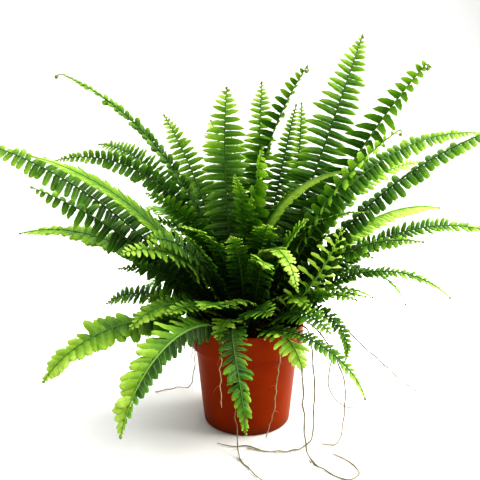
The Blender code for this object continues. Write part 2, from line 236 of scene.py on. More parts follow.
# %% The leaflet's grid of faces
def leaflet_faces(rows, columns):
    """Quads of a closed leaf: the upper layer, then the lower one, with a shared rim."""
    upper = np.arange((rows + 1) * (columns + 1)).reshape(rows + 1, columns + 1)
    lower = upper.copy()
    inner = np.arange((rows - 1) * (columns - 1)).reshape(rows - 1, columns - 1)
    lower[1:-1, 1:-1] = upper.size + inner
    top = (upper[:-1, :-1], upper[1:, :-1], upper[1:, 1:], upper[:-1, 1:])
    base = (lower[:-1, :-1], lower[:-1, 1:], lower[1:, 1:], lower[1:, :-1])
    return np.vstack([np.stack(corners, -1).reshape(-1, 4) for corners in (top, base)])


LARGE, SMALL = (11, 4), (6, 2)  # rows and columns
print("faces: large leaflet", len(leaflet_faces(*LARGE)), "small", len(leaflet_faces(*SMALL)))

# %% [markdown]
# ### Its outline
# The outline is a formula of how far along the leaflet a point is. It swells quickly, stays
# nearly parallel and then tapers to a blunt tip. Every second row is drawn in a little, which
# gives the scalloped edge that a fern leaflet has.

# %% The leaflet's outline
EAR, EAR_PLACE, EAR_SPREAD = 0.26, 0.10, 0.07
SWELL_BY, TAPER_FROM = 0.14, 0.15
SCALLOP = 0.06
NARROWEST = 0.08


def row_places(rows):
    """Shares of a leaflet's length where its rows lie, closer together towards the tip."""
    return 1 - (1 - np.linspace(0, 1, rows + 1)) ** 1.5


def outline(t, forward, blunt, base):
    """Half width at each share t of the leaflet's length, as a share of the widest."""
    swell = base + (1 - base) * np.minimum(1, t / SWELL_BY) ** 0.7
    taper = 1 - np.clip((t - TAPER_FROM) / (1 - TAPER_FROM), 0, 1) ** blunt
    taper = np.maximum(taper, 0) ** (1.5 / blunt)
    ear = EAR * np.exp(-((t - EAR_PLACE) / EAR_SPREAD) ** 2) if forward else 0.0
    scallop = 1 - SCALLOP * (np.arange(len(t)) % 2)
    return np.maximum((swell + ear) * taper * scallop, NARROWEST)


print("outline:", outline(row_places(5), True, 3.0, 0.6).round(2))

# %% [markdown]
# ### Its habit
# The fronds of one fern don't all look alike. In shade or when they stand upright their leaflets
# are spaced apart and each turns its face to the sky, like the slats of a blind. Young fronds in
# the light are closed: their leaflets are flat, wide and overlap like tiles. On an old arching
# frond both rows hang down from the stem like a tent, and where leaflets lean far forward they
# merge into a feather or a ribbon. A habit is a small set of values, and each habit only lists
# what it changes from the usual open one.

# %% The habits
USUAL_HABIT = {
    "spacing": 1.20,  # distance between leaflets, as a share of the usual
    "width": 0.91,  # a leaflet's width, as a share of that distance
    "reach": 1.10,  # its length, as a share of the frond's half width
    "blunt": 2.4,  # how square its tip is
    "base": 0.95,  # how wide it joins the stem
    "fold": 10,  # degrees it is raised out of the blade
    "sky": 0.32,  # how much it turns its face up
    "twist": 8,  # degrees it twists about its own length
    "lean": 0,  # degrees it leans towards the frond's tip
    "curve": 6,  # degrees more that its own tip leans
    "pull": 0.40,  # how hard its weight pulls it down
    "sag": 1.4,  # near 1 it sags from its base on, higher only its tip sags
    "loose": 1.0,  # how unlike its neighbours it may turn
}
HABIT_CHANGES = {
    "open": {},
    "closed": dict(spacing=1.22, width=1.42, reach=1.0, blunt=3.4, fold=2, sky=0, twist=14,
                   lean=8, curve=16, pull=0.20, loose=1.3),
    "ragged": dict(spacing=1.08, width=1.15, reach=1.05, fold=0, sky=0, twist=14, lean=14,
                   curve=22, sag=0.9, loose=2.2),
    "feather": dict(spacing=0.56, width=1.50, reach=1.30, blunt=3.2, fold=3, sky=0, twist=6,
                    lean=62, curve=0, pull=0.05, loose=0.5),
    "ribbon": dict(spacing=0.70, width=1.20, reach=1.30, blunt=3.2, fold=-40, sky=0, twist=6,
                   lean=42, curve=0, pull=0.05, loose=0.5),
    "tent": dict(spacing=1.26, width=0.98, reach=1.0, blunt=4.6, base=0.8, fold=-6, sky=0, lean=4,
                 pull=0.45, sag=0.6),
    "hung": dict(spacing=1.26, width=0.90, reach=1.0, blunt=4.2, base=0.75, fold=2, sky=0,
                 twist=10, pull=0.60, sag=0.6, loose=1.4),
    "fringe": dict(spacing=1.60, width=0.84, reach=1.0, blunt=3.0, base=0.6, fold=-15, sky=0,
                   twist=14, pull=0.80, sag=0.6, loose=2.2),
    "comb": dict(spacing=1.50, width=0.80, reach=1.05, blunt=2.2, fold=25, sky=0.4, lean=-8,
                 pull=0.55, sag=0.8),
    "hook": dict(spacing=1.45, width=0.80, reach=1.0, fold=40, sky=0.3, pull=0.50),
    "lace": dict(spacing=1.40, width=0.88, reach=0.95, blunt=4.2, base=0.7, fold=14, sky=0.1,
                 lean=4, pull=0.25, loose=1.8),
    "small": dict(spacing=1.05, width=0.86, reach=1.0, blunt=3.4, base=0.7, fold=8, sky=0,
                  twist=14, lean=22, pull=0.20, loose=1.8),
    "beads": dict(spacing=1.50, width=1.05, reach=1.05, blunt=3.8, base=0.6, fold=22, sky=0.1,
                  twist=34, lean=40, pull=0.20, loose=2.4),
    "coins": dict(spacing=2.20, width=0.82, blunt=4.4, base=0.5, fold=26, sky=0, twist=20, lean=6,
                  pull=0.50, loose=1.8),
    "fan": dict(spacing=1.75, width=0.78, reach=1.15, blunt=2.5, base=0.5, fold=14, sky=0.1,
                twist=188, lean=12, curve=14, pull=0.25),
}
HABITS = {name: {**USUAL_HABIT, **changes} for name, changes in HABIT_CHANGES.items()}
print("habits:", ", ".join(HABITS))

# %% [markdown]
# ### Its bend
# A leaflet grows almost square to the stem and leans forward more towards the frond's tip. Its
# own weight pulls it down, so each row adds a little of the downward direction. The same pull
# makes a level frond hang like a tent and an upright one curve like a comb. On one spilling frond
# a whole row has folded down beside the stem, as leaves do where they lie in shade.

# %% Shape all the leaflets of a frond at once
TIP_LEAN, TURN_UNDER = 32, 64
LEAN_SPREAD, FOLD_SPREAD, TWIST_SPREAD = 4, 5, 6  # degrees, for a looseness of 1
THICKNESS = 0.00028
CAMBER = 0.17
EDGE_WAVE, WAVES = 0.00045, 2.5


def leaflet_points(base, along, side, face, length, width, age, hand, rng, size, habit, turned):
    """Points of every leaflet, and where each point is along and across its leaflet."""
    rows, columns = size
    count, loose = len(base), habit["loose"]
    t, v = row_places(rows), np.linspace(-1, 1, columns + 1)
    lean = habit["lean"] + TIP_LEAN * age[:, None] ** 6
    lean = lean + rng.normal(0, LEAN_SPREAD * loose, (count, 1)) + habit["curve"] * t
    lean = np.radians(lean)[..., None]
    fold = habit["fold"] - TURN_UNDER * (hand == turned) + rng.normal(0, FOLD_SPREAD * loose, count)
    fold = np.radians(fold)[:, None]
    outward = (side * hand * np.cos(fold) + face * np.sin(fold))[:, None]
    face = face * np.cos(fold) - side * hand * np.sin(fold)
    pull = (habit["pull"] * rng.uniform(0.6, 1.4, count))[:, None] * t ** habit["sag"]
    way = unit(outward * np.cos(lean) + along[:, None] * np.sin(lean) - UP * pull[..., None])
    step = (way[:, :-1] + way[:, 1:]) / 2 * (length[:, None] * np.diff(t))[..., None]
    spine = base[:, None] + np.concatenate([np.zeros((count, 1, 3)), np.cumsum(step, 1)], 1)
    sky = unit(face + UP * habit["sky"])[:, None]
    up = unit(sky - way * (sky * way).sum(-1, keepdims=True))
    across = np.cross(up, way)
    twist = np.radians(rng.normal(habit["twist"], TWIST_SPREAD * loose, (count, 1)))
    twist = (twist * (0.4 + 0.6 * t) * hand)[..., None]
    up, across = (up * np.cos(twist) - across * np.sin(twist),
                  across * np.cos(twist) + up * np.sin(twist))
    eared, plain = (outline(t, forward, habit["blunt"], habit["base"])[:, None]
                    for forward in (True, False))
    reach = v * np.where(v * hand > 0, eared, plain) * width[:, None, None] / 2
    wave = np.sin(math.tau * WAVES * t[:, None] + rng.uniform(0, 6, (count, 1, 1)))
    lift = EDGE_WAVE * v ** 2 * wave - CAMBER * width[:, None, None] * v ** 2
    middle = spine[:, :, None] + across[:, :, None] * reach[..., None]
    middle = middle + up[:, :, None] * lift[..., None]
    half = THICKNESS / 2 * (1 - np.abs(v) ** 3) * np.sin(np.pi * t)[:, None] ** 0.3
    rise = up[:, :, None] * half[..., None]
    top = (middle + rise).reshape(count, -1, 3)
    under = (middle - rise)[:, 1:-1, 1:-1].reshape(count, -1, 3)
    grid = np.stack(np.broadcast_arrays(t[:, None], np.abs(v)[None]), -1)
    marks = np.concatenate([grid.reshape(-1, 2), grid[1:-1, 1:-1].reshape(-1, 2)])
    return np.concatenate([top, under], 1), np.broadcast_to(marks, (count, len(marks), 2))


# %% [markdown]
# ## Where the leaflets sit
# They stand in two rows, left and right by turns, and crowd together as the frond narrows to its
# tip. The frond's own width profile sets each leaflet's length, so the outline of the whole frond
# comes out as a long narrow feather.

# %% Space the leaflets along the stem
LEAF_START, LEAF_END = 0.05, 0.992
BLADE_START = 0.10
SWELL_END, SWELL_LOSS, TAPER_POWER, TIP_POWER = 0.25, 0.5, 4.5, 0.85
LEAST_GAP, GAP_PER_WIDTH = 0.0036, 0.140
TIP_GAP, MORE_GAP, GAP_POWER = 0.34, 0.66, 0.8  # crowded at the tip, full where it is widest


def profile(s):
    """The frond's half width at a share of its length, as a share of its widest."""
    u = np.clip((s - BLADE_START) / (1 - BLADE_START), 0, 1)
    swell = 1 - SWELL_LOSS * (1 - np.minimum(u / SWELL_END, 1)) ** 2
    return swell * (1 - u ** TAPER_POWER) ** TIP_POWER


def leaflet_places(length, widest, spacing):
    """Shares of the stem's length where leaflets grow, and the spacing at each."""
    full = (LEAST_GAP + GAP_PER_WIDTH * widest) * spacing
    places, gaps = [], []
    s = LEAF_START
    while s < LEAF_END:
        gap = full * (TIP_GAP + MORE_GAP * float(profile(s)) ** GAP_POWER)
        places.append(s)
        gaps.append(gap)
        s += gap / length
    return np.array(places), np.array(gaps)


print("leaflets on one side of a long frond:", len(leaflet_places(0.3, 0.024, 1.0)[0]))

# %% [markdown]
# ## The stem of a frond
# The stem is a round tube that gets thinner towards the tip. A bevelled curve would do, but here
# it is joined with its leaflets in one mesh, so its rings are made directly.

# %% A tapering tube
NO_STEM_WAY = [0.3, 0.2, 1.0]  # any direction that no stem starts in


def frames_along(line):
    """Side and face directions along a line, turning as little as they can."""
    along = unit(np.gradient(line, axis=0))
    side = np.zeros_like(line)
    side[0] = unit(np.cross(along[0], NO_STEM_WAY))
    for i in range(1, len(line)):
        side[i] = unit(side[i - 1] - along[i] * (side[i - 1] @ along[i]))
    return side, np.cross(side, along)


def tube(places, side, face, radii, sides):
    """Points and faces of a closed tube, ring by ring, with a point at each end."""
    turn = np.linspace(0, math.tau, sides, endpoint=False)
    ring = side[:, None] * np.cos(turn)[:, None] + face[:, None] * np.sin(turn)[:, None]
    points = (places[:, None] + ring * radii[:, None, None]).reshape(-1, 3)
    here = np.arange(len(points)).reshape(-1, sides)
    there = np.roll(here, -1, 1)  # each point's neighbour round the tube
    quads = np.stack([here[:-1], there[:-1], there[1:], here[1:]], -1).reshape(-1, 4)
    low = np.stack([np.full(sides, len(points)), there[0], here[0]], -1)
    high = np.stack([np.full(sides, len(points) + 1), here[-1], there[-1]], -1)
    faces = quads.tolist() + low.tolist() + high.tolist()
    return np.vstack([points, places[:1], places[-1:]]), faces


# %% [markdown]
# ## From numbers to a Blender mesh
# Each batch brings its points, its faces, a material number and some marks. A mark is a number
# kept at each point, such as how far along the leaflet it lies. The leaf's material reads the
# marks, so the colours stay on the leaf from every side.

# %% Gather batches into one mesh
class Batches:
    """Collects points, faces, material numbers and marks, then makes one mesh."""

    def __init__(self, *marks):
        self.points, self.faces, self.finish, self.total = [], [], [], 0
        self.marks = {mark: [] for mark in marks}

    def add(self, points, faces, finish=0, **marks):
        """Add points, and faces that count those points from zero."""
        if isinstance(faces, np.ndarray):
            self.faces += (faces + self.total).tolist()
        else:
            self.faces += [[i + self.total for i in face] for face in faces]
        self.points.append(points)
        self.finish.append(np.broadcast_to(finish, len(faces)))
        for mark, values in self.marks.items():
            values.append(np.broadcast_to(marks.get(mark, 0.0), len(points)))
        self.total += len(points)

    def mesh(self, name):
        """One mesh of all that was added."""
        made = bpy.data.meshes.new(name)
        made.from_pydata(np.concatenate(self.points).tolist(), [], self.faces)
        made.polygons.foreach_set("material_index", np.concatenate(self.finish).astype(np.int32))
        for mark, values in self.marks.items():
            layer = made.attributes.new(mark, "FLOAT", "POINT")
            layer.data.foreach_set("value", np.concatenate(values).astype(np.float32))
        made.shade_smooth()
        made.set_sharp_from_angle(angle=math.radians(70))
        return made


def new_object(name, data, *finishes):
    """An object in the scene, with its materials."""
    obj = bpy.data.objects.new(name, data)
    bpy.context.scene.collection.objects.link(obj)
    for finish in finishes:
        data.materials.append(finish)
    return obj


# %% [markdown]
# ## Materials: a few helpers
# A node material is a chain of small steps. One helper adds a node, fills in its sockets and gives
# its output, and the others name the steps used most. The usual signs of arithmetic work on such
# an output, so that each material below reads as a short sum.

# %% A node's output that can be added and multiplied
class Value:
    """A node's output that can be added, multiplied and so on like a number."""

    def __init__(self, tree, socket):
        self.tree, self.socket = tree, socket

    def step(self, operation, *others):
        """A step of arithmetic, which is one more node."""
        inputs = dict(enumerate((self, *others)))
        return put(self.tree, "ShaderNodeMath", inputs, operation=operation)

    __add__ = partialmethod(step, "ADD")
    __sub__ = partialmethod(step, "SUBTRACT")
    __mul__ = partialmethod(step, "MULTIPLY")
    __pow__ = partialmethod(step, "POWER")
    __gt__ = partialmethod(step, "GREATER_THAN")


def fill(tree, node, inputs):
    """Set a node's sockets, or link them where another node's output is given."""
    for key, value in inputs.items():
        if isinstance(value, Value):
            tree.links.new(value.socket, node.inputs[key])
        else:
            colour = isinstance(value, tuple)
            node.inputs[key].default_value = (*value, 1.0) if colour else value


def put(tree, kind, inputs, output=0, **settings):
    """Add a node, set its properties, fill in its sockets and give one of its outputs."""
    node = tree.nodes.new(kind)
    for key, value in settings.items():
        setattr(node, key, value)
    fill(tree, node, inputs)
    return Value(tree, node.outputs[output])


# %% Helpers for node materials
def new_material(name):
    """A new node material, its node tree and its Principled shader."""
    made = bpy.data.materials.new(name)
    made.use_nodes = True
    return made, made.node_tree, made.node_tree.nodes["Principled BSDF"]


def coat(tree, shader, colour, roughness, specular, normal):
    """Fill in the Principled shader."""
    fill(tree, shader, {"Base Color": colour, "Roughness": roughness,
                        "Specular IOR Level": specular, "Normal": normal})


def mark(tree, name):
    """The value of a mark kept on the mesh."""
    return put(tree, "ShaderNodeAttribute", {}, "Fac", attribute_name=name)


def mix(tree, amount, first, second):
    """Two colours mixed by an amount."""
    return put(tree, "ShaderNodeMix", {0: amount, 6: first, 7: second}, 2, data_type="RGBA")


def ramp(tree, amount, stops):
    """A colour ramp with (position, colour) stops."""
    colour = put(tree, "ShaderNodeValToRGB", {0: amount})
    band = colour.socket.node.color_ramp
    while len(band.elements) < len(stops):
        band.elements.new(0.5)
    for element, (position, stop) in zip(band.elements, stops):
        element.position = position
        element.color = (*stop, 1.0)
    return colour


def own_space(tree):
    """Places in the object's own space."""
    return put(tree, "ShaderNodeTexCoord", {}, "Object")


def grain(tree, scale, detail=4.0, roughness=0.6):
    """Noise in the object's own space."""
    return put(tree, "ShaderNodeTexNoise", {
        "Vector": own_space(tree), "Scale": scale, "Detail": detail, "Roughness": roughness})


def bump(tree, height, strength, distance):
    """A bump from a height."""
    return put(tree, "ShaderNodeBump", {
        "Height": height, "Strength": strength, "Distance": distance})


# %% [markdown]
# ## The leaf
# A fern leaf is deep green low down, fresh green in its middle and yellow-green at its young tip.
# Only part of this is the leaf's own colour: the darkest green low on the frond and near the stem
# is painted shade from the crowded heart, and the palest tips are painted light shining through.
# Light from behind shines through it. One shader for the surface and a translucent one for the
# light behind are mixed. The marks drive the colour: the leaflet's place on the frond, the point's
# place on the leaflet, and a tone of its own. A pale midrib runs down the middle, with side veins
# that slant off it.

# %% The leaf's material
LEAF_MARKS = ("age", "along", "across", "tone", "fresh")
LEAF_COLOURS = (
    (0.00, (0.006, 0.022, 0.003)), (0.28, (0.022, 0.072, 0.007)), (0.52, (0.090, 0.210, 0.017)),
    (0.76, (0.280, 0.430, 0.038)), (1.00, (0.500, 0.610, 0.150)))
MIDRIB = (0.22, 0.42, 0.12)
# painted light: the pale yellow-green that a leaflet's thin margin turns to where light comes
# through it
PAINTED_EDGE_LIGHT = (0.34, 0.52, 0.05)
DRY, DRY_FROM = (0.16, 0.075, 0.02), 0.985
# painted shade: the underside is mixed half way to near-black green, as undersides lie in shadow
UNDERSIDE_PAINTED_SHADE, UNDERSIDE_SHADE_SHARE = (0.012, 0.036, 0.006), 0.50
# age and place darken a leaf low on the frond and near its stem and brighten its tips: partly its
# own colour, partly painted shade and painted light
BY_AGE_AND_SHADE, BY_PLACE_AND_SHADE, BY_FRESHNESS, BY_TONE = 0.52, 0.34, 0.50, 0.18  # what brightens a leaf
RIB_NARROWNESS, VEINS, VEIN_SLANT = 9.0, 95.0, 0.16
SHINES_THROUGH = 0.35


def leaf_material(name, underside):
    """The leaf's upper face, or its duller underside, darkened with painted shade."""
    made, tree, shader = new_material(name)
    age, along, across, tone, fresh = (mark(tree, key) for key in LEAF_MARKS)
    # partly painted shade and light: darker near the crown and the stem, paler at the tips
    ripe_and_painted_light = age ** 3.0 * BY_AGE_AND_SHADE + along ** 1.6 * BY_PLACE_AND_SHADE + fresh * BY_FRESHNESS + tone * BY_TONE
    colour = ramp(tree, ripe_and_painted_light + (grain(tree, 260.0) * 0.20 - 0.10), LEAF_COLOURS)
    # painted light on each leaflet's margin
    colour = mix(tree, across ** 5.0 * 0.30, colour, PAINTED_EDGE_LIGHT)
    rib = (across * -RIB_NARROWNESS + 1.0).step("MAXIMUM", 0.0) * 0.55
    colour = mix(tree, rib, colour, MIDRIB)
    wave = ((along - across * VEIN_SLANT) * VEINS).step("SINE")
    vein = wave.step("MAXIMUM", 0.0) ** 3.0 * 0.16
    colour = mix(tree, vein, colour, MIDRIB)
    colour = mix(tree, (age > DRY_FROM) * 0.8, colour, DRY)
    # painted shade darkens the underside
    if underside:
        colour = mix(tree, UNDERSIDE_SHADE_SHARE, colour, UNDERSIDE_PAINTED_SHADE)
    height = vein - rib * 1.2 + grain(tree, 900.0, 2.0) * 0.25
    roughness, specular = (0.75, 0.10) if underside else (0.46, 0.25)
    coat(tree, shader, colour, roughness, specular, bump(tree, height, 0.5, 0.0004))
    glow = put(tree, "ShaderNodeHueSaturation", {"Saturation": 1.1, "Value": 2.6, "Color": colour})
    behind = put(tree, "ShaderNodeBsdfTranslucent", {"Color": glow})
    front = Value(tree, shader.outputs[0])
    both = put(tree, "ShaderNodeMixShader", {0: SHINES_THROUGH, 1: front, 2: behind})
    fill(tree, tree.nodes["Material Output"], {"Surface": both})
    return made


LEAF = leaf_material("leaf_upper", False)
LEAF_UNDER = leaf_material("leaf_underside", True)
print("leaf materials:", LEAF.name, LEAF_UNDER.name)

# %% [markdown]
# ## The frond's stem
# Low down the stem is brown and scaly. Higher up it turns to the pale green of the midribs.

# %% The stem's material
STALK_COLOURS = (
    (0.00, (0.040, 0.022, 0.010)), (0.15, (0.036, 0.036, 0.010)), (0.40, (0.024, 0.062, 0.010)),
    (0.85, (0.060, 0.150, 0.020)), (1.00, (0.20, 0.26, 0.05)))
YOUNG_STALK, SPECK = (0.20, 0.40, 0.07), (0.06, 0.07, 0.02)


def stalk_material():
    """Brown at the crown, pale green along the blade."""
    made, tree, shader = new_material("frond_stalk")
    age = mark(tree, "age")
    young = mark(tree, "fresh") ** 1.4 * (age * 2.5).step("MINIMUM", 1.0)
    colour = mix(tree, young, ramp(tree, age, STALK_COLOURS), YOUNG_STALK)
    colour = mix(tree, grain(tree, 700.0, 3.0) * 0.5, colour, SPECK)
    coat(tree, shader, colour, 0.60, 0.15, bump(tree, grain(tree, 1200.0, 2.0), 0.4, 0.0003))
    return made


STALK = stalk_material()
print("stem material:", STALK.name)

# %% [markdown]
# ## Making the fronds
# Young fronds are bright and old ones are dark, so each frond has a freshness, near 0 for the
# oldest and about 1 for the youngest. Some fronds that lie in shade are given a lower freshness,
# which paints that shade into their green. Fronds that aren't listed are fairly old and have the
# usual open habit. A few young fronds end in a small spiral.

# %% Each frond's freshness, habit and tip
USUAL_FRESH = 0.26
# the fronds of each habit, each with its freshness
LOOKS = {
    "closed": dict(left_spill=0.66, left_front_spill=0.78, left_level=0.50, left_near_low=0.50,
                   front_left_small=1.05, front_small=0.62, front_curl=0.62, centre_drop=0.95,
                   centre_left_drop=0.86),
    "ragged": dict(front_spill=0.12, front_right_spill=0.88),
    "feather": dict(left_bright_arch=0.58),
    "ribbon": dict(centre_arch=1.40, right_level_small=0.95),
    "tent": dict(right_long=0.24, right_lace=0.44),
    "hung": dict(left_long=0.22, right_under=0.28),
    "fringe": dict(left_fringe=0.10),
    "comb": dict(right_high=0.42),
    "hook": dict(tall_hooked=0.30),
    "lace": dict(right_back_pale=0.70, left_upper=0.22),
    "small": dict(right_hanging=0.34, right_level=0.36, right_low=0.40, right_drop=0.26,
                  right_low_slim=0.26),
    "beads": dict(left_high_arch=0.24),
    "coins": dict(right_high_small=0.62, centre_facing=0.70),
    "fan": dict(right_fan=1.20),
    "open": dict(pale_upright=0.55, tall_centre=0.50, left_upright=0.52, left_low_dark=0.06,
                 tall_right=0.32, tall_left=0.40, left_near=0.55),
}
FRESH = {name: fresh for fronds in LOOKS.values() for name, fresh in fronds.items()}
HABIT = {name: habit for habit, fronds in LOOKS.items() for name in fronds}
CURLED = {"tall_hooked": 330, "right_high": 280, "left_high_arch": 100, "right_high_small": 240}
TURNED = {"left_front_spill": -1.0}  # which row has folded down
# the folded row is shorter, and its freshness below zero paints shade into its green
TURNED_REACH, TURNED_PAINTED_SHADE = 0.68, -0.15
print("fronds with looks of their own:", len(LOOKS), "habits", len(FRESH), "fronds")

# %% Add a frond's two rows of leaflets
LAST_PLACE = 0.997
LEAST_PROFILE, REACH_SPREAD = 0.02, 0.09
LARGE_FROM = 0.008
WIDEST_SHARE = 0.75


def add_leaflets(batches, curve, length, widest, habit, fresh, rng, turned=0.0,
                 sizes=(LARGE, SMALL)):
    """Both rows of leaflets, the large ones and the small ones as two batches."""
    s, place, along, side, face = curve
    places, gaps = leaflet_places(length, widest, habit["spacing"])
    for hand in (-1.0, 1.0):
        at = np.minimum(places + (0.5 * gaps / length if hand > 0 else 0.0), LAST_PLACE)
        index = np.searchsorted(s, at).clip(0, CURVE_STEPS)
        reach = widest * habit["reach"] * np.maximum(profile(at), LEAST_PROFILE)
        reach = reach * rng.normal(1.0, REACH_SPREAD, len(at))
        reach = reach * (TURNED_REACH if hand == turned else 1)
        large = reach > LARGE_FROM
        for chosen, size in ((large, sizes[0]), (~large, sizes[1])):
            if not chosen.any():
                continue
            i, count = index[chosen], int(chosen.sum())
            width = np.minimum(gaps[chosen] * habit["width"], reach[chosen] * WIDEST_SHARE)
            points, marks = leaflet_points(
                place[i], along[i], side[i], face[i], reach[chosen], width, at[chosen], hand, rng,
                size, habit, turned)
            faces, stride = leaflet_faces(*size), points.shape[1]
            stacked = (faces[None] + (np.arange(count) * stride)[:, None, None]).reshape(-1, 4)
            finish = np.tile(np.repeat([0, 1], len(faces) // 2), count)
            # a folded row takes the painted shade freshness in place of its frond's own
            batches.add(
                points.reshape(-1, 3), stacked, finish, along=marks[..., 0].ravel(),
                across=marks[..., 1].ravel(), age=np.repeat(at[chosen], stride),
                tone=np.repeat(rng.uniform(0, 1, count), stride),
                fresh=TURNED_PAINTED_SHADE if hand == turned else fresh)


# %% Build a frond
STIPE_RADIUS, TIP_RADIUS = 0.00150, 0.00040
BUD_RADIUS, CURLED_BUD_RADIUS = 0.0009, 0.0016
BUD_PLACE, BUD_SPREAD = 0.994, 0.005
WIDE_FROND = 0.024
STEM_SIDES, STEM_EVERY, TIP_STEPS = 7, 8, 16
FROND_SEED = 100


def add_stem(batches, curve, widest, fresh, bud=BUD_RADIUS):
    """The frond's stem from crown to tip, with a bud at its end."""
    s, place, along, side, face = curve
    tip = np.arange(CURVE_STEPS - TIP_STEPS, CURVE_STEPS + 1)
    pick = np.unique(np.concatenate([np.arange(0, CURVE_STEPS + 1, STEM_EVERY), tip]))
    stipe = STIPE_RADIUS * (0.6 + 0.4 * widest / WIDE_FROND)
    radii = TIP_RADIUS + (stipe - TIP_RADIUS) * (1 - s[pick]) ** 0.9
    radii = radii + bud * np.exp(-((s[pick] - BUD_PLACE) / BUD_SPREAD) ** 2)
    points, faces = tube(place[pick], side[pick], face[pick], radii, STEM_SIDES)
    ages = np.append(np.repeat(s[pick], STEM_SIDES), [0.0, 1.0])
    batches.add(points, faces, 2, age=ages, fresh=fresh)


def leafy_object(name, batches):
    """An object from leaf batches, with its three finishes, riding on the plant's body."""
    obj = new_object(name, batches.mesh(name), LEAF, LEAF_UNDER, STALK)
    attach(obj, "root")
    return obj


def make_frond(order, frond):
    """One whole frond in place of its plain solid."""
    name, length, widest = frond[0], frond[3], frond[6]
    curve = curve_of(frond, CURLED.get(name, 0.0))
    batches, fresh = Batches(*LEAF_MARKS), FRESH.get(name, USUAL_FRESH)
    add_stem(batches, curve, widest, fresh, CURLED_BUD_RADIUS if name in CURLED else BUD_RADIUS)
    add_leaflets(batches, curve, length, widest, HABITS[HABIT.get(name, "open")], fresh,
                 np.random.default_rng(FROND_SEED + order), TURNED.get(name, 0.0))
    obj = leafy_object(f"fern_{name}", batches)
    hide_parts(f"frond_{name}")
    return obj


fern = [make_frond(order, frond) for order, frond in enumerate(FRONDS)]
triangles = [2 * len(obj.data.polygons) for obj in fern]
print("fronds made:", len(fern), "triangles", sum(triangles), "most in one", max(triangles))

# %% [markdown]
# ## The young fronds inside
# Between the long fronds a fern is crowded with short ones that never reach the light. They are
# small, and their colour is kept dark as painted shade, so from outside they only show as a dense
# green heart. No one places them by hand: each next one is turned by the golden angle, which is how
# plants spread their leaves so that none stands right over another, and a seeded generator varies
# its slope and length.

# %% Grow the young fronds
GOLDEN_ANGLE = 137.508
YOUNG, YOUNG_SEED = 44, 55
# the innermost one's value, how much the outermost one differs, and the spread
YOUNG_RISE, YOUNG_LENGTH = (86, -50, 4), (0.175, -0.085, 0.010)
# the least and the greatest half width, droop, sweep and roll, and then freshness, kept low as
# painted shade
YOUNG_RANGES, YOUNG_SHADE_FRESH = ((0.012, 0.017), (35, 85), (-25, 25), (-60, 60)), (0.05, 0.50)


def varied(rng, share, first, change, spread):
    """A value that changes with its share of the way out, and varies a little."""
    return first + change * share + rng.normal(0, spread)


batches, rng = Batches(*LEAF_MARKS), np.random.default_rng(YOUNG_SEED)
for k in range(YOUNG):
    share = (k + 0.5) / YOUNG
    rise, length = varied(rng, share, *YOUNG_RISE), varied(rng, share, *YOUNG_LENGTH)
    widest, droop, sweep, roll = (rng.uniform(*ends) for ends in YOUNG_RANGES)
    curve = frond_curve(k * GOLDEN_ANGLE, rise, length, droop, sweep, roll)
    # a low freshness paints the shade of the crowded heart into each young frond
    fresh = rng.uniform(*YOUNG_SHADE_FRESH)
    add_stem(batches, curve, widest, fresh)
    add_leaflets(batches, curve, length, widest, HABITS["open"], fresh, rng, sizes=(SMALL, SMALL))
young = leafy_object("fern_young_fronds", batches)
print("young fronds:", YOUNG, "triangles", 2 * len(young.data.polygons))

# %% [markdown]
# ## The pot
# A nursery pot is moulded from thin plastic: a tapered wall, a wide band at the rim with a rolled
# lip, and a flat floor with holes. It is round, so a profile swept by the Screw modifier makes it
# in one go. The profile's corners are rounded first, as they are in the mould.

# %% The pot's profile
BAND_HEIGHT, BAND_STEP, WALL, FLOOR_THICKNESS = 0.026, 0.0042, 0.0014, 0.0020
LIP_HEIGHT, LIP_LOW, LIP_STEP = 0.0030, 0.0036, 0.0005
BAND_TAPER, INNER_TAPER = 0.0011, 0.0006
BASE_RADIUS, FOOT = 0.046, 0.0016
SHOULDER_RADIUS = POT_RADIUS - BAND_STEP - WALL
SHOULDER_Z = POT_HEIGHT - BAND_HEIGHT
INNER_BEND = SHOULDER_Z + WALL
CORNER_RADIUS, CORNER_STEPS = 0.0007, 4


def wall_radius(height):
    """The wall's outside radius below the band."""
    return BASE_RADIUS + (SHOULDER_RADIUS - BASE_RADIUS) * height / SHOULDER_Z


def rounded(profile_points):
    """A profile with each inner corner turned into a short curve."""
    out = [profile_points[0]]
    for before, corner, after in zip(profile_points, profile_points[1:], profile_points[2:]):
        corner = Vector(corner)
        a, b = Vector(before) - corner, Vector(after) - corner
        cut = min(CORNER_RADIUS, a.length / 2.2, b.length / 2.2)
        p, q = corner + a.normalized() * cut, corner + b.normalized() * cut
        for k in range(CORNER_STEPS + 1):
            t = k / CORNER_STEPS
            out.append(tuple(p.lerp(corner, t).lerp(corner.lerp(q, t), t)))
    return out + [profile_points[-1]]


# radius and height, from the inside's middle up over the rim and down to the underside's middle
pot_profile = rounded([
    (0, FLOOR_THICKNESS), (wall_radius(0) - WALL, FLOOR_THICKNESS),
    (wall_radius(INNER_BEND) - WALL, INNER_BEND),
    (POT_RADIUS - WALL - INNER_TAPER, INNER_BEND + BAND_STEP),
    (POT_RADIUS - WALL, POT_HEIGHT), (POT_RADIUS, POT_HEIGHT),
    (POT_RADIUS, POT_HEIGHT - LIP_HEIGHT), (POT_RADIUS - LIP_STEP, POT_HEIGHT - LIP_LOW),
    (POT_RADIUS - BAND_TAPER, SHOULDER_Z), (SHOULDER_RADIUS, SHOULDER_Z),
    (BASE_RADIUS, FOOT), (BASE_RADIUS - FOOT, 0), (0, 0)])
print("profile points:", len(pot_profile))

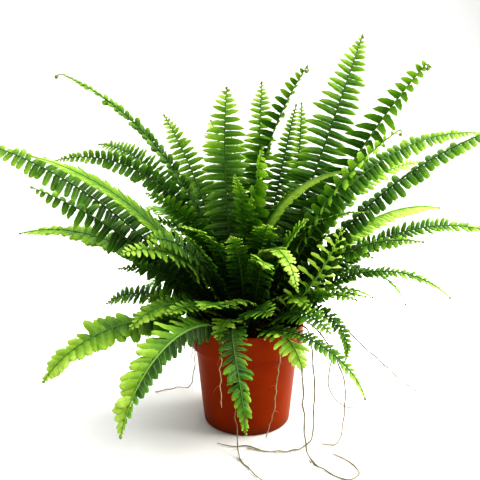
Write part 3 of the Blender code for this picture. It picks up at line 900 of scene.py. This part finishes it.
# %% Turn the pot and drill its floor
TURN_STEPS = 144
DRAIN_HOLES, DRAIN_RADIUS, DRAIN_CIRCLE = 6, 0.0045, 0.030
pot_mesh = bpy.data.meshes.new("plant_pot")
edges = [(i, i + 1) for i in range(len(pot_profile) - 1)]
pot_mesh.from_pydata([(r, 0, z) for r, z in pot_profile], edges, [])
pot = new_object("plant_pot", pot_mesh)
turn = pot.modifiers.new("Turn", "SCREW")
turn.steps = turn.render_steps = TURN_STEPS
turn.use_merge_vertices = True
turn.merge_threshold = 0.00002
turn.use_smooth_shade = True
for i in range(DRAIN_HOLES):
    angle = math.tau * (i + 0.5) / DRAIN_HOLES
    bpy.ops.mesh.primitive_cylinder_add(
        vertices=32, radius=DRAIN_RADIUS, depth=4 * FLOOR_THICKNESS,
        location=(DRAIN_CIRCLE * math.cos(angle), DRAIN_CIRCLE * math.sin(angle), 0))
    drill = bpy.context.object
    cut = pot.modifiers.new("Drain", "BOOLEAN")
    cut.object = drill
    bpy.context.view_layer.update()
    drilled = pot.evaluated_get(bpy.context.evaluated_depsgraph_get())
    whole = bpy.data.meshes.new_from_object(drilled)
    pot.modifiers.clear()
    pot.data = whole
    bpy.data.objects.remove(drill)
pot.data.shade_smooth()
pot.data.set_sharp_from_angle(angle=math.radians(40))
print("pot faces:", len(pot.data.polygons))

# %% [markdown]
# ### The pot's plastic
# The plastic is a warm brick red with a low sheen. Thin plastic is never quite even: it has faint
# rings from the mould, cloudy patches, small scuffs on the band that sticks out and dust of dried
# soil near the foot. Each of these is a noise that nudges the colour, the gloss or the bumps.

# %% The plastic's material
PLASTIC_DARK, PLASTIC_LIGHT = (0.170, 0.014, 0.001), (0.285, 0.044, 0.001)
SCUFF, DUST = (0.42, 0.17, 0.11), (0.060, 0.035, 0.020)
DUST_HEIGHT = 0.014


def plastic_material():
    """Brick red moulded plastic with scuffs and a little dust."""
    made, tree, shader = new_material("terracotta_plastic")
    where = own_space(tree)
    height = put(tree, "ShaderNodeSeparateXYZ", {0: where}, 2)
    cloud = grain(tree, 22.0, 5.0)
    colour = mix(tree, cloud, PLASTIC_DARK, PLASTIC_LIGHT)
    scuff = put(tree, "ShaderNodeMapRange", {
        "Value": grain(tree, 420.0, 6.0, 0.7), "From Min": 0.66, "From Max": 0.74})
    scuff = scuff * ((height > SHOULDER_Z) * 0.35 + 0.12)
    colour = mix(tree, scuff, colour, SCUFF)
    dusty = put(tree, "ShaderNodeMapRange", {
        "Value": height, "From Min": DUST_HEIGHT, "From Max": 0.0, "To Max": 0.8})
    colour = mix(tree, dusty * grain(tree, 130.0, 5.0), colour, DUST)
    gloss = cloud * 0.20 + 0.26 + scuff * 0.4
    rings = put(tree, "ShaderNodeTexWave", {"Vector": where, "Scale": 160.0, "Distortion": 0.4},
                1, wave_type="BANDS", bands_direction="Z")
    uneven = grain(tree, 60.0, 2.0) * 6.0 + rings
    coat(tree, shader, colour, gloss, 0.05, bump(tree, uneven, 0.12, 0.0004))
    return made


pot.data.materials.clear()
pot.data.materials.append(plastic_material())
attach(pot, "root")
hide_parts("pot")
print("pot material:", pot.data.materials[0].name)

# %% [markdown]
# ## The soil
# Potting mix is a heap of dark crumbs, bark chips and a few pale grains. A bumpy turned body fills
# the pot and is closed underneath. Two noises of different sizes make its top uneven. The loose
# crumbs are joined to it in one mesh later on, as the real mix is one heap.

# %% Fill the pot
SOIL_RINGS, SOIL_SECTORS = 26, 72
LUMPS, LUMP_SCALE, GRIT_SCALE = 0.0022, 130, 420


def soil_height(x, y):
    """The bumpy top of the soil."""
    lump = noise.noise(Vector((x, y, 0)) * LUMP_SCALE)
    lump += 0.5 * noise.noise(Vector((x, y, 5)) * GRIT_SCALE)
    return SOIL_TOP - LUMPS * 0.7 + LUMPS * 0.6 * lump


def circle(radius):
    """Even places round the pot's middle."""
    turns = [math.tau * k / SOIL_SECTORS for k in range(SOIL_SECTORS)]
    return [(radius * math.cos(turn), radius * math.sin(turn)) for turn in turns]


def soil_body():
    """Points and faces of the soil's top, side and underside as one closed body."""
    radii = [SOIL_RADIUS * (i + 1) / SOIL_RINGS for i in range(SOIL_RINGS)]
    side = ((SOIL_RADIUS, INNER_BEND + BAND_STEP),
            (wall_radius(INNER_BEND) - WALL - SEAT, INNER_BEND),
            (BASE_RADIUS - WALL - SEAT, SOIL_BOTTOM))
    points = [(0.0, 0.0, soil_height(0, 0))]
    points += [(x, y, soil_height(x, y)) for radius in radii for x, y in circle(radius)]
    points += [(x, y, z) for radius, z in side for x, y in circle(radius)]
    points.append((0.0, 0.0, SOIL_BOTTOM))
    here = np.arange(1, len(points) - 1).reshape(-1, SOIL_SECTORS)
    there = np.roll(here, -1, 1)  # each point's neighbour round the pot
    quads = np.stack([here[:-1], here[1:], there[1:], there[:-1]], -1).reshape(-1, 4)
    middle, bottom = np.full_like(here[:2], [[0], [len(points) - 1]])
    fans = np.stack([middle, here[0], there[0], bottom, there[-1], here[-1]], -1).reshape(-1, 3)
    return np.array(points), quads.tolist() + fans.tolist()


# %% [markdown]
# ### Its crumbs
# A crumb is a small ball. Noise pushes its points in and out, three random numbers stretch it and
# a random turn lays it down, so that no two are alike. Most crumbs are small and a few are large.

# %% Make the crumbs
CRUMBS = 330
CRUMB_SIZE, CRUMB_SPREAD = 0.0007, 0.0030 - 0.0007
CRUMB_REACH = SOIL_RADIUS - 0.0035
CRUMB_STRETCH, CRUMB_ROUGH, CRUMB_DENTS, CRUMB_RISE = (0.55, 1.35), 0.45, 1.7, 0.2
NOISE_RANGE = 50  # each crumb reads its own part of the noise
CRUMB_TONES = (0.1, 0.2, 0.3, 0.4, 0.5, 0.6, 0.75, 0.95)


def ball(detail):
    """Points and triangles of a unit ball."""
    work = bmesh.new()
    bmesh.ops.create_icosphere(work, subdivisions=detail, radius=1.0)
    points = np.array([v.co for v in work.verts])
    faces = np.array([[v.index for v in f.verts] for f in work.faces])
    work.free()
    return points, faces


def add_crumbs(batches, rng):
    """Loose crumbs scattered on the soil, each with a shape and tone of its own."""
    points, faces = ball(2)
    for k in range(CRUMBS):
        radius, angle = CRUMB_REACH * math.sqrt(rng.uniform()), rng.uniform(0, math.tau)
        x, y = radius * math.cos(angle), radius * math.sin(angle)
        size = CRUMB_SIZE + CRUMB_SPREAD * rng.uniform() ** 3
        stretch = rng.uniform(*CRUMB_STRETCH, 3) * size
        offset = Vector(rng.uniform(0, NOISE_RANGE, 3))
        dents = [noise.noise(Vector(p) * CRUMB_DENTS + offset) for p in points]
        rough = 1 + CRUMB_ROUGH * np.array(dents)
        spin = np.linalg.qr(rng.normal(size=(3, 3)))[0]
        spin *= np.sign(np.linalg.det(spin))
        place = np.array([x, y, soil_height(x, y) + size * CRUMB_RISE])
        crumb = points * rough[:, None] * stretch @ spin.T + place
        batches.add(crumb, faces, tone=rng.choice(CRUMB_TONES))


# %% [markdown]
# ### The soil's material
# Each crumb carries a tone: most are near black, some are bark brown and a few are pale. Fine
# noise breaks the colour up inside every crumb.

# %% The soil's material
EARTH_COLOURS = (
    (0.00, (0.006, 0.004, 0.003)), (0.35, (0.020, 0.012, 0.007)), (0.65, (0.060, 0.033, 0.016)),
    (0.85, (0.15, 0.095, 0.05)), (1.00, (0.45, 0.40, 0.33)))
# the noise that mottles the colour, the noise of the relief, and its strength and depth
CRUMBLY = (900.0, 6.0, 0.75), (1400.0, 6.0, 0.8), (0.9, 0.0008)


def mottled_material(name, key, colours, mottle, relief, depth, roughness, specular):
    """Matter whose mark picks its colour, with a mottle and a relief of noise."""
    made, tree, shader = new_material(name)
    colour = ramp(tree, mark(tree, key) + (grain(tree, *mottle) * 0.5 - 0.25), colours)
    normal = bump(tree, grain(tree, *relief), *depth)
    coat(tree, shader, colour, roughness, specular, normal)
    return made


potting_mix = mottled_material("potting_mix", "tone", EARTH_COLOURS, *CRUMBLY, 0.95, 0.2)
print("soil material:", potting_mix.name)

# %% Join the soil and its crumbs
CRUMB_SEED, SOIL_TONE = 7, 0.35
batches = Batches("tone")
points, faces = soil_body()
batches.add(points, faces, tone=SOIL_TONE)
add_crumbs(batches, np.random.default_rng(CRUMB_SEED))
soil = new_object("potting_soil", batches.mesh("potting_soil"), potting_mix)
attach(soil, "root")
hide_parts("soil")
print("soil faces:", len(soil.data.polygons))

# %% [markdown]
# ## The crown
# Under the fronds sits a mound of short stems wrapped in brown papery scales. A low mound gives
# its body, and hundreds of narrow flakes lie on it like roof tiles, pointing up and out. More
# flakes climb the foot of each frond. A few dark rootlets reach over the rim on the left.

# %% A papery flake
UPPER_FACES = ((0, 1, 8, 7), (7, 8, 4, 3), (1, 2, 9, 8), (8, 9, 5, 4), (2, 6, 9), (9, 6, 5))
# the lower layer is the upper one turned over, on the last three points
LOWER_FACES = [[i + 3 if i > 6 else i for i in face[::-1]] for face in UPPER_FACES]
FLAKE_FACES = [*UPPER_FACES, *LOWER_FACES, (0, 7, 3, 10)]
FLAKE_CURVE, FLAKE_THICKNESS = 0.18, 0.10
# a flake's least and greatest length, width and tone
MOUND_FLAKE = (0.003, 0.0075), (0.0007, 0.0016), (0.2, 0.9)
FOOT_FLAKE = (0.0025, 0.005), (0.0005, 0.0010), (0.3, 0.95)


def flake(rng, base, outward, length, width):
    """Points of a narrow pointed scale: its left and right edges, its tip and its two layers."""
    across = unit(np.cross(outward, rng.normal(size=3)))
    up = np.cross(across, outward)
    t = np.array([0.0, 0.35, 0.7, 1.0])
    wide = np.array([0.5, 1.0, 0.6, 0.0]) * width / 2
    middle = base + outward * (t * length)[:, None] - up * (FLAKE_CURVE * length * t ** 2)[:, None]
    left, right = middle - across * wide[:, None], middle + across * wide[:, None]
    thick = up * (width * FLAKE_THICKNESS)
    return np.vstack([left[:3], right[:3], middle[3:],
                      (middle + thick)[:3], (middle - thick)[:3]])


def add_flake(batches, rng, base, way, lengths, widths, tones):
    """A flake of a random length, width and tone."""
    points = flake(rng, base, way, rng.uniform(*lengths), rng.uniform(*widths))
    batches.add(points, FLAKE_FACES, tone=rng.uniform(*tones))


# %% Build the crown
CROWN_SEED, FLAKES, FOOT_FLAKES = 21, 620, 16
FLAKE_SINK = 0.0012  # how deep a flake sits in the mound
STEM_SURFACE = 0.0009  # how far from a stem's middle a flake starts
FOOT_STEPS = 26  # how far up a frond its flakes climb, in steps of its curve
MOUND_TONE = 0.4
batches, rng = Batches("tone"), np.random.default_rng(CROWN_SEED)
points, faces = ball(4)
mound = points * CROWN_SIZE * 0.97
mound = mound * np.array([0.97 + 0.07 * noise.noise(Vector(p) * 120) for p in mound])[:, None]
mound[:, 2] = np.maximum(mound[:, 2], 0.0) + CROWN_BOTTOM
batches.add(mound, faces, tone=MOUND_TONE)
for k in range(FLAKES):
    outward = headings_to_vectors(rng.uniform(0, math.tau), math.asin(rng.uniform(0.03, 1.0)))
    way = unit(outward + rng.normal(0, 0.45, 3) + UP * 0.5)
    add_flake(batches, rng, crown_point(outward) - outward * FLAKE_SINK, way, *MOUND_FLAKE)
for frond in FRONDS:
    s, place, along, side, face = curve_of(frond)
    for k in range(FOOT_FLAKES):
        i, around = int(rng.uniform(0, FOOT_STEPS)), rng.uniform(0, math.tau)
        out = side[i] * math.cos(around) + face[i] * math.sin(around)
        base, way = place[i] + out * STEM_SURFACE, unit(along[i] + out * 0.35)
        add_flake(batches, rng, base, way, *FOOT_FLAKE)
print("flakes:", FLAKES + FOOT_FLAKES * len(FRONDS))

# %% Hang the rootlets over the rim
ROOTLETS, ROOTLET_TONE = 14, 0.05
ROOTLET_HEADINGS, ROOTLET_DROPS = (196, 226), (0.012, 0.034)
OVER_RIM = np.array([0.030, 0.046, 0.058, 0.0635, 0.0655, 0.067])  # the way out
RIM_TOP, PAST_RIM = (0.108, 0.1125, 0.1145), 0.1115  # the way up, and where it turns down
for k in range(ROOTLETS):
    compass = math.radians(rng.uniform(*ROOTLET_HEADINGS))
    hang = rng.uniform(*ROOTLET_DROPS)
    reach = OVER_RIM + rng.uniform(0, 0.004)
    height = np.array([*RIM_TOP, PAST_RIM, PAST_RIM - hang * 0.5, PAST_RIM - hang])
    line = np.stack([math.cos(compass) * reach, math.sin(compass) * reach, height], -1)
    line = line + rng.normal(0, 0.0008, line.shape)
    points, faces = tube(line, *frames_along(line), np.linspace(0.0005, 0.0002, len(line)), 5)
    batches.add(points, faces, tone=ROOTLET_TONE)
RHIZOME_COLOURS = (
    (0.00, (0.020, 0.010, 0.005)), (0.40, (0.075, 0.036, 0.014)), (0.75, (0.19, 0.095, 0.035)),
    (1.00, (0.34, 0.20, 0.09)))
rhizome = mottled_material("rhizome_scale", "tone", RHIZOME_COLOURS, *CRUMBLY, 0.8, 0.2)
crown = new_object("fern_crown", batches.mesh("fern_crown"), rhizome)
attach(crown, "root")
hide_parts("crown")
print("crown faces:", len(crown.data.polygons))

# %% [markdown]
# ## The runners
# A runner is a wire of a stem, not quite even in thickness, with hair roots and tiny bumps where
# buds sit. A smooth curve through the route's points gives its line. The hair roots are very thin
# tubes that leave it at all angles and sag. Two longer side roots are listed: one curls in the air
# at the right and one lies on the table in front.

# %% A smooth line through a runner's route
RUNNER_RADIUS, REST_GAP = 0.0008, 0.0001


def smooth_line(places, count):
    """Even points along a Catmull-Rom curve through some places, and its length."""
    knots = [np.array(place) for place in places]
    knots = [2 * knots[0] - knots[1]] + knots + [2 * knots[-1] - knots[-2]]
    t = np.linspace(0, 1, 16, endpoint=False)[:, None]
    runs = [0.5 * (2 * b + (c - a) * t + (2 * a - 5 * b + 4 * c - d) * t ** 2
                   + (3 * b - a - 3 * c + d) * t ** 3)
            for a, b, c, d in zip(knots, knots[1:], knots[2:], knots[3:])]
    fine = np.vstack(runs + [knots[-2][None]])
    travelled = np.append(0, np.cumsum(np.linalg.norm(np.diff(fine, axis=0), axis=1)))
    wanted = np.linspace(0, travelled[-1], count)
    even = [np.interp(wanted, travelled, fine[:, axis]) for axis in range(3)]
    return np.stack(even, -1), travelled[-1]


def lift_clear(line, radii):
    """Lift a line's points so that its tube clears the table."""
    line[:, 2] = np.maximum(line[:, 2], radii + REST_GAP)


# %% The side roots' routes
ROOT_RADIUS, ROOT_AGE, ROOT_POINTS = 0.0006, 0.35, 30
# runner, share of its length where the root leaves it, the places it passes through
SIDE_ROOTS = (
    ("corner", 0.42, ((0.082, -0.044, 0.070), (0.081, -0.050, 0.055), (0.089, -0.055, 0.043),
                      (0.102, -0.055, 0.036), (0.106, -0.052, 0.046), (0.100, -0.050, 0.058))),
    ("right", 0.93, ((0.000, -0.066, 0.001), (-0.014, -0.067, 0.001), (-0.030, -0.061, 0.001))),
)
print("side roots:", len(SIDE_ROOTS))

# %% Tubes and hair roots
HAIR_RADIUS, HAIR_POINTS = 0.00016, 5
HAIR_LENGTHS, HAIR_SAG, HAIR_GAP = (0.003, 0.012), 0.7, 0.0003
HAIRS_FROM, HAIRS_TO = 0.12, 0.98  # shares of the runner's length


def add_tube(batches, line, radii, ages, sides):
    """A tube along a line, marked with its age."""
    points, faces = tube(line, *frames_along(line), radii, sides)
    batches.add(points, faces, age=np.append(np.repeat(ages, sides), [ages[0], ages[-1]]))


def add_hairs(batches, rng, line, ages, count):
    """Hair roots that leave a runner at all angles and sag."""
    t = np.linspace(0, 1, HAIR_POINTS)[:, None]
    for k in range(count):
        i = int(rng.uniform(HAIRS_FROM, HAIRS_TO) * len(line))
        reach = rng.uniform(*HAIR_LENGTHS)
        hair = line[i] + unit(rng.normal(size=3)) * reach * t - UP * reach * HAIR_SAG * t ** 2
        hair[:, 2] = np.maximum(hair[:, 2], HAIR_GAP)
        add_tube(batches, hair, HAIR_RADIUS * (1 - 0.6 * t[:, 0]), np.full(HAIR_POINTS, ages[i]), 4)


# %% Build a runner
RUNNER_SEED, RUNNER_POINTS, RUNNER_SIDES = 300, 110, 7
WANDER, WANDER_POINTS = 0.0005, 30
HAIR_EVERY = 0.0085
PALE_FROM = {"pink": 1.0, "across": 0.85, "front": 0.55}


def make_runner(order, runner):
    """One runner with its roots, in place of its plain wire."""
    name, heading, rise, places = runner
    rng = np.random.default_rng(RUNNER_SEED + order)
    start = crown_point(headings_to_vectors(math.radians(heading), math.radians(rise)))
    line, length = smooth_line((start, *places), RUNNER_POINTS)
    lift_clear(line, RUNNER_RADIUS)
    share, few = np.linspace(0, 1, RUNNER_POINTS), np.linspace(0, 1, WANDER_POINTS)
    wander = [np.interp(share, few, rng.normal(0, WANDER, WANDER_POINTS)) for axis in range(3)]
    line = line + np.stack(wander, -1) * np.minimum(1, np.minimum(share, 1 - share) * 12)[:, None]
    radii = RUNNER_RADIUS * (0.95 - 0.35 * share) * (1 + 0.14 * np.sin(share * 90 + order))
    lift_clear(line, radii)
    batches, ages = Batches("age"), np.maximum(share, PALE_FROM.get(name, 0.0))
    add_tube(batches, line, radii, ages, RUNNER_SIDES)
    add_hairs(batches, rng, line, ages, int(length / HAIR_EVERY))
    for owner, at, route in SIDE_ROOTS:
        if owner == name:
            root = smooth_line((line[int(at * RUNNER_POINTS)], *route), ROOT_POINTS)[0]
            lift_clear(root, ROOT_RADIUS)
            radii = np.linspace(ROOT_RADIUS, ROOT_RADIUS / 2, ROOT_POINTS)
            add_tube(batches, root, radii, np.full(ROOT_POINTS, ROOT_AGE), 5)
    obj = new_object(f"fern_runner_{name}", batches.mesh(f"fern_runner_{name}"), WIRE)
    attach(obj, "root")
    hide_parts(f"runner_{name}")
    print(obj.name, "length", round(length, 3))


# %% [markdown]
# ### The runner's material
# Old runner is grey-brown and woody, and its growing end is pale. A few runners are pale all along.

# %% The runner's material
WIRE_COLOURS = (
    (0.00, (0.045, 0.027, 0.012)), (0.40, (0.120, 0.086, 0.042)), (0.75, (0.190, 0.165, 0.080)),
    (1.00, (0.42, 0.34, 0.20)))
WOODY = (240.0, 4.0), (1500.0, 3.0), (0.5, 0.0003)
WIRE = mottled_material("runner_stem", "age", WIRE_COLOURS, *WOODY, 0.7, 0.5)
for order, runner in enumerate(RUNNERS):
    make_runner(order, runner)

# %% [markdown]
# ## The floor, the light and the camera
# The fern stands on a plain pale sheet in soft studio light. Two large lamps, one at the right and
# one behind, make the leaves glow. A third overhead softens the shadows, and the pale world fills
# the rest.

# %% Floor
SHEET_WIDTH, SHEET_FRONT, SHEET_BACK, SHEET_TOP = 8.0, -3.0, 1.0, 4.0
BEND = 0.9  # the radius of the sweep up to the wall
bend = np.radians(range(6, 91, 6))
sheet = [(SHEET_FRONT, 0.0), (SHEET_BACK, 0.0)]
sheet += [(SHEET_BACK + BEND * math.sin(a), BEND - BEND * math.cos(a)) for a in bend]
sheet.append((SHEET_BACK + BEND, SHEET_TOP))
corners = [(x, y, z) for y, z in sheet for x in (-SHEET_WIDTH / 2, SHEET_WIDTH / 2)]
strips = [(i, i + 1, i + 3, i + 2) for i in range(0, len(corners) - 2, 2)]
floor_mesh = bpy.data.meshes.new("floor")
floor_mesh.from_pydata(corners, [], strips)
floor_mesh.shade_smooth()
floor_finish, tree, shader = new_material("pale_floor")
fill(tree, shader, {"Base Color": (0.740, 0.740, 0.725), "Roughness": 0.9})
floor = new_object("floor", floor_mesh, floor_finish)
print("floor strips:", len(strips))

# %% Light
world = bpy.data.worlds.new("studio")
bpy.context.scene.world = world
world.use_nodes = True
fill(world.node_tree, world.node_tree.nodes["Background"], {0: (0.97, 0.98, 1.0), 1: 0.56})


def soft_lamp(name, place, target, size, power, colour=(1, 1, 1)):
    """A square area lamp aimed at a point."""
    lamp = new_object(name, bpy.data.lights.new(name, "AREA"))
    lamp.data.size, lamp.data.energy, lamp.data.color = size, power, colour
    lamp.location = place
    lamp.rotation_euler = (Vector(target) - Vector(place)).to_track_quat("-Z", "Y").to_euler()


soft_lamp("key", (1.05, 0.05, 0.75), (0, 0, 0.2), 0.9, 26, (1.0, 0.98, 0.95))
soft_lamp("overhead", (0.1, 0.0, 1.5), (0, 0, 0.15), 1.6, 16)
soft_lamp("back", (-0.2, 1.0, 1.7), (0, 0, 0.2), 1.4, 16)
print("lamps:", len(bpy.data.lights))

# %% Camera
CAMERA_PLACE, DOWNWARD, LENS = (-0.0073, -0.600, 0.307), 10.6, 44.3
camera = new_object("camera", bpy.data.cameras.new("camera"))
camera.location = CAMERA_PLACE
camera.rotation_euler = (math.radians(90 - DOWNWARD), 0, 0)
camera.data.sensor_width = 36
camera.data.lens = LENS
camera.data.clip_start = 0.01
bpy.context.scene.camera = camera
bpy.context.scene.view_settings.view_transform = "Standard"
bpy.context.scene.view_settings.look = "High Contrast"
print("camera", CAMERA_PLACE, "lens", LENS)
